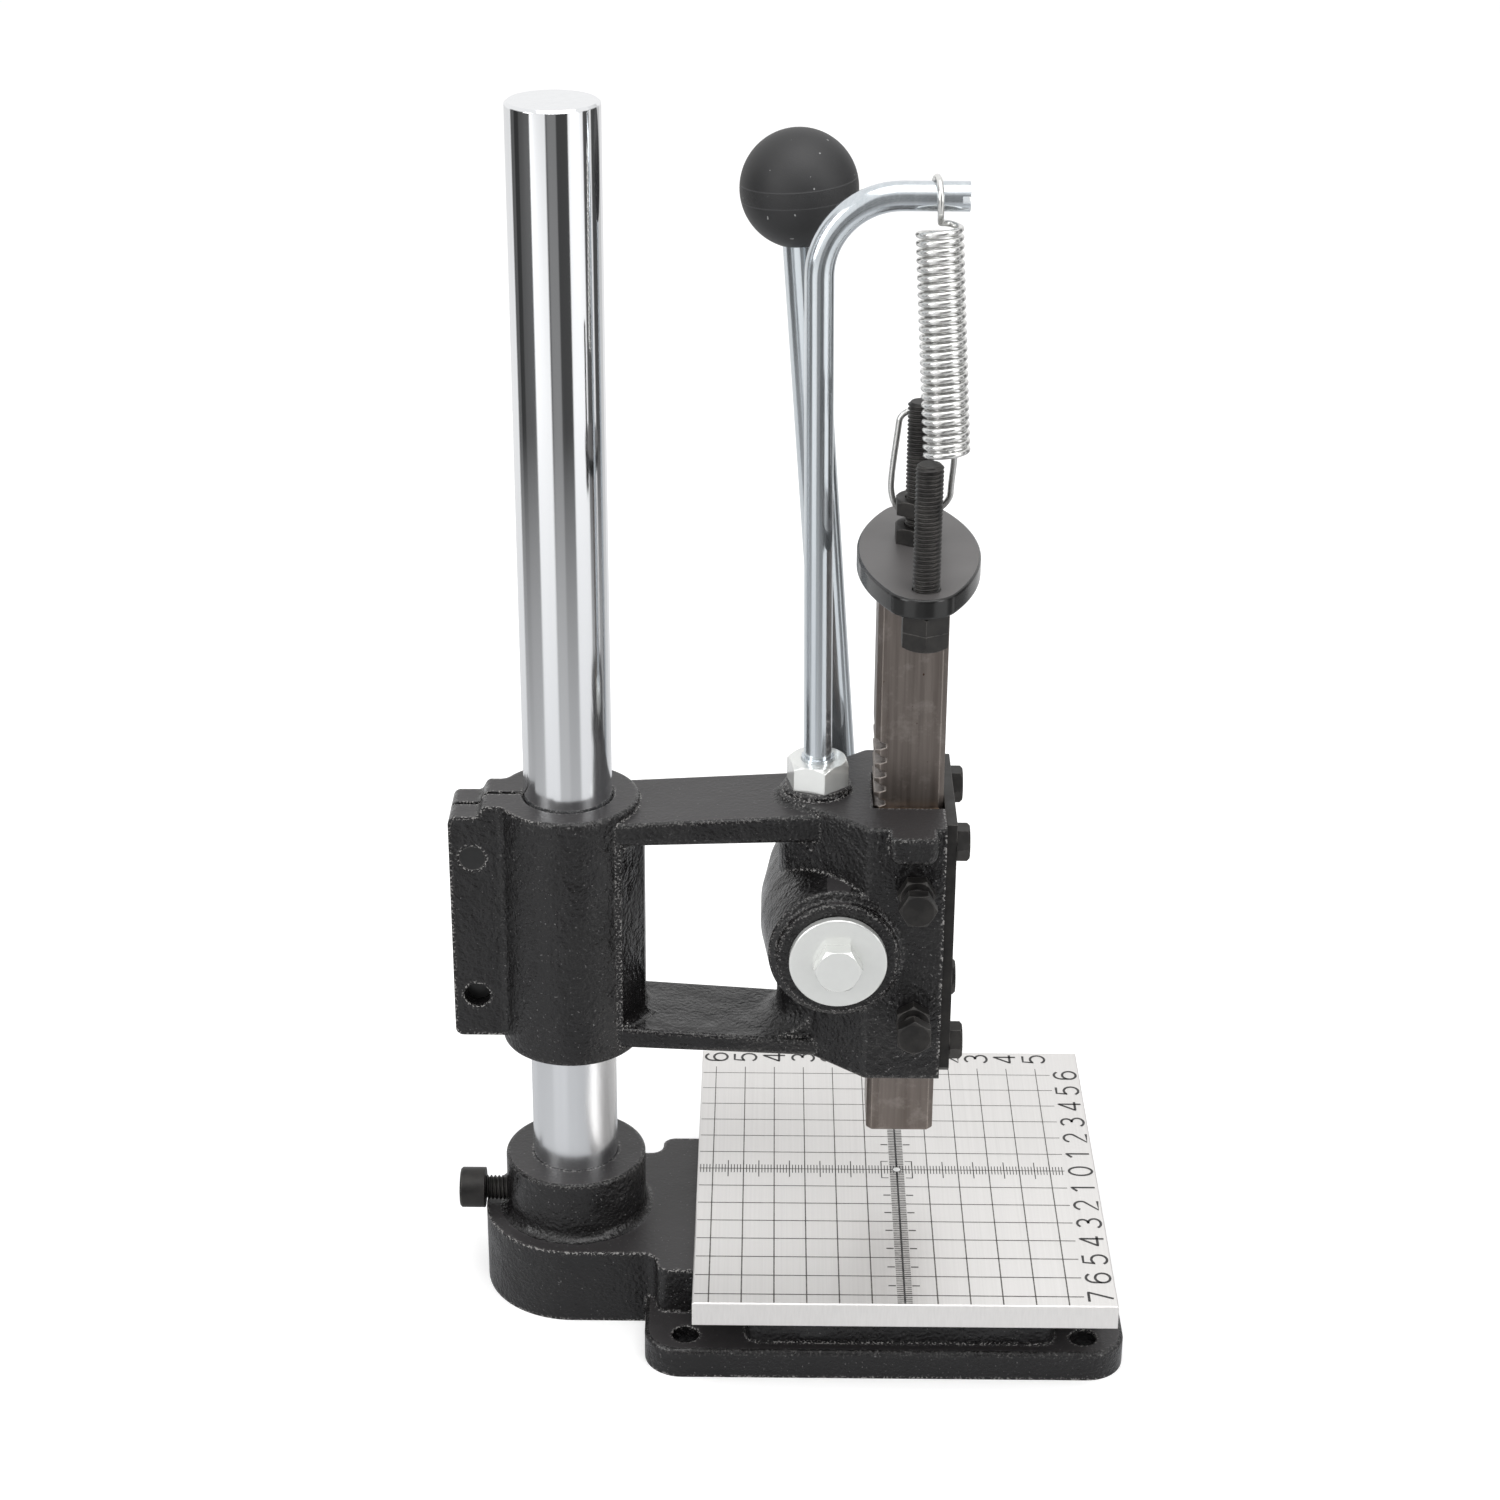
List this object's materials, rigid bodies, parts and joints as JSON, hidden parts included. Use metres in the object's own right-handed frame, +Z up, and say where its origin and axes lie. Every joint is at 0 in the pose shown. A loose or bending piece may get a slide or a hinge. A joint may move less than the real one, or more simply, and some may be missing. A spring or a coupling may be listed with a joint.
{
  "type": "lever hole punch",
  "caption": "Bench hand press for punching holes: a lever turns a pinion that drives a square ram down over a flat work plate, on a head clamped to a round column.",
  "frame": {"origin": "on the underside of the base, straight below the axis of the ram", "axes": "+Z up, +X to the user's side and away from the column, +Y to the lever's side"},
  "size_m": [0.2112, 0.15, 0.3855],
  "materials": {
    "black_enamel": "gloss enamel on rough casting",
    "bright_plate": "brushed",
    "chrome": "polished",
    "zinc_steel": "zinc plated",
    "black_oxide": "black oxide",
    "oiled_steel": "dark oiled",
    "black_gloss": "smooth gloss black",
    "bronze": "worn bronze",
    "spring_steel": "bright wire",
    "black_plastic": "matte"
  },
  "bodies": {
    "base": {"base_casting": "black_enamel", "work_plate": "bright_plate", "plate_screws": "black_oxide", "column_lock_screw": "black_oxide"},
    "column": {"column": "chrome"},
    "head": {"head_casting": "black_enamel", "clamp_bolts": "black_oxide", "front_cover_plate": "black_oxide", "cover_bolts": "black_oxide", "side_gib": "bronze", "gib_adjusting_bolts": "black_oxide", "gib_lock_nuts": "black_oxide", "spring_hanger": "zinc_steel", "hanger_lock_nut": "zinc_steel", "return_spring": "spring_steel"},
    "pinion": {"pinion_shaft": "oiled_steel", "pinion_washer": "zinc_steel", "pinion_end_bolt": "zinc_steel", "lever_hub": "zinc_steel", "hub_set_screw": "black_oxide", "lever_rod": "zinc_steel", "lever_knob": "black_plastic"},
    "ram": {"ram": "oiled_steel", "ram_top_plate": "black_gloss", "ram_stud": "black_oxide", "stud_lower_nut": "black_oxide", "stud_upper_nut": "black_oxide", "stop_lock_nut": "black_oxide"},
    "stop": {"stop_screw": "black_oxide"}
  },
  "joints": [
    {"name": "column_turn", "type": "hinge", "parent": "base", "child": "column", "pos_m": [-0.1034, 0, 0.0462], "axis": [0, 0, 1], "continuous": true},
    {"name": "head_slide", "type": "slide", "parent": "column", "child": "head", "axis": [0, 0, 1], "range_m": [0, 0.2]},
    {"name": "lever_turn", "type": "hinge", "parent": "head", "child": "pinion", "pos_m": [-0.021, 0, 0.1338], "axis": [0, 1, 0], "range_deg": [0, 124]},
    {"name": "ram_slide", "type": "slide", "parent": "head", "child": "ram", "axis": [0, 0, -1], "range_m": [0, 0.026], "stiffness_N_per_m": 2800, "springref_m": -0.014, "deforming": ["return_spring"]},
    {"name": "stop_adjust", "type": "slide", "parent": "ram", "child": "stop", "axis": [0, 0, -1], "range_m": [0, 0.03]}
  ],
  "couplings": [
    {"joint": "ram_slide", "follows": "lever_turn", "m_per_rad": 0.012}
  ]
}
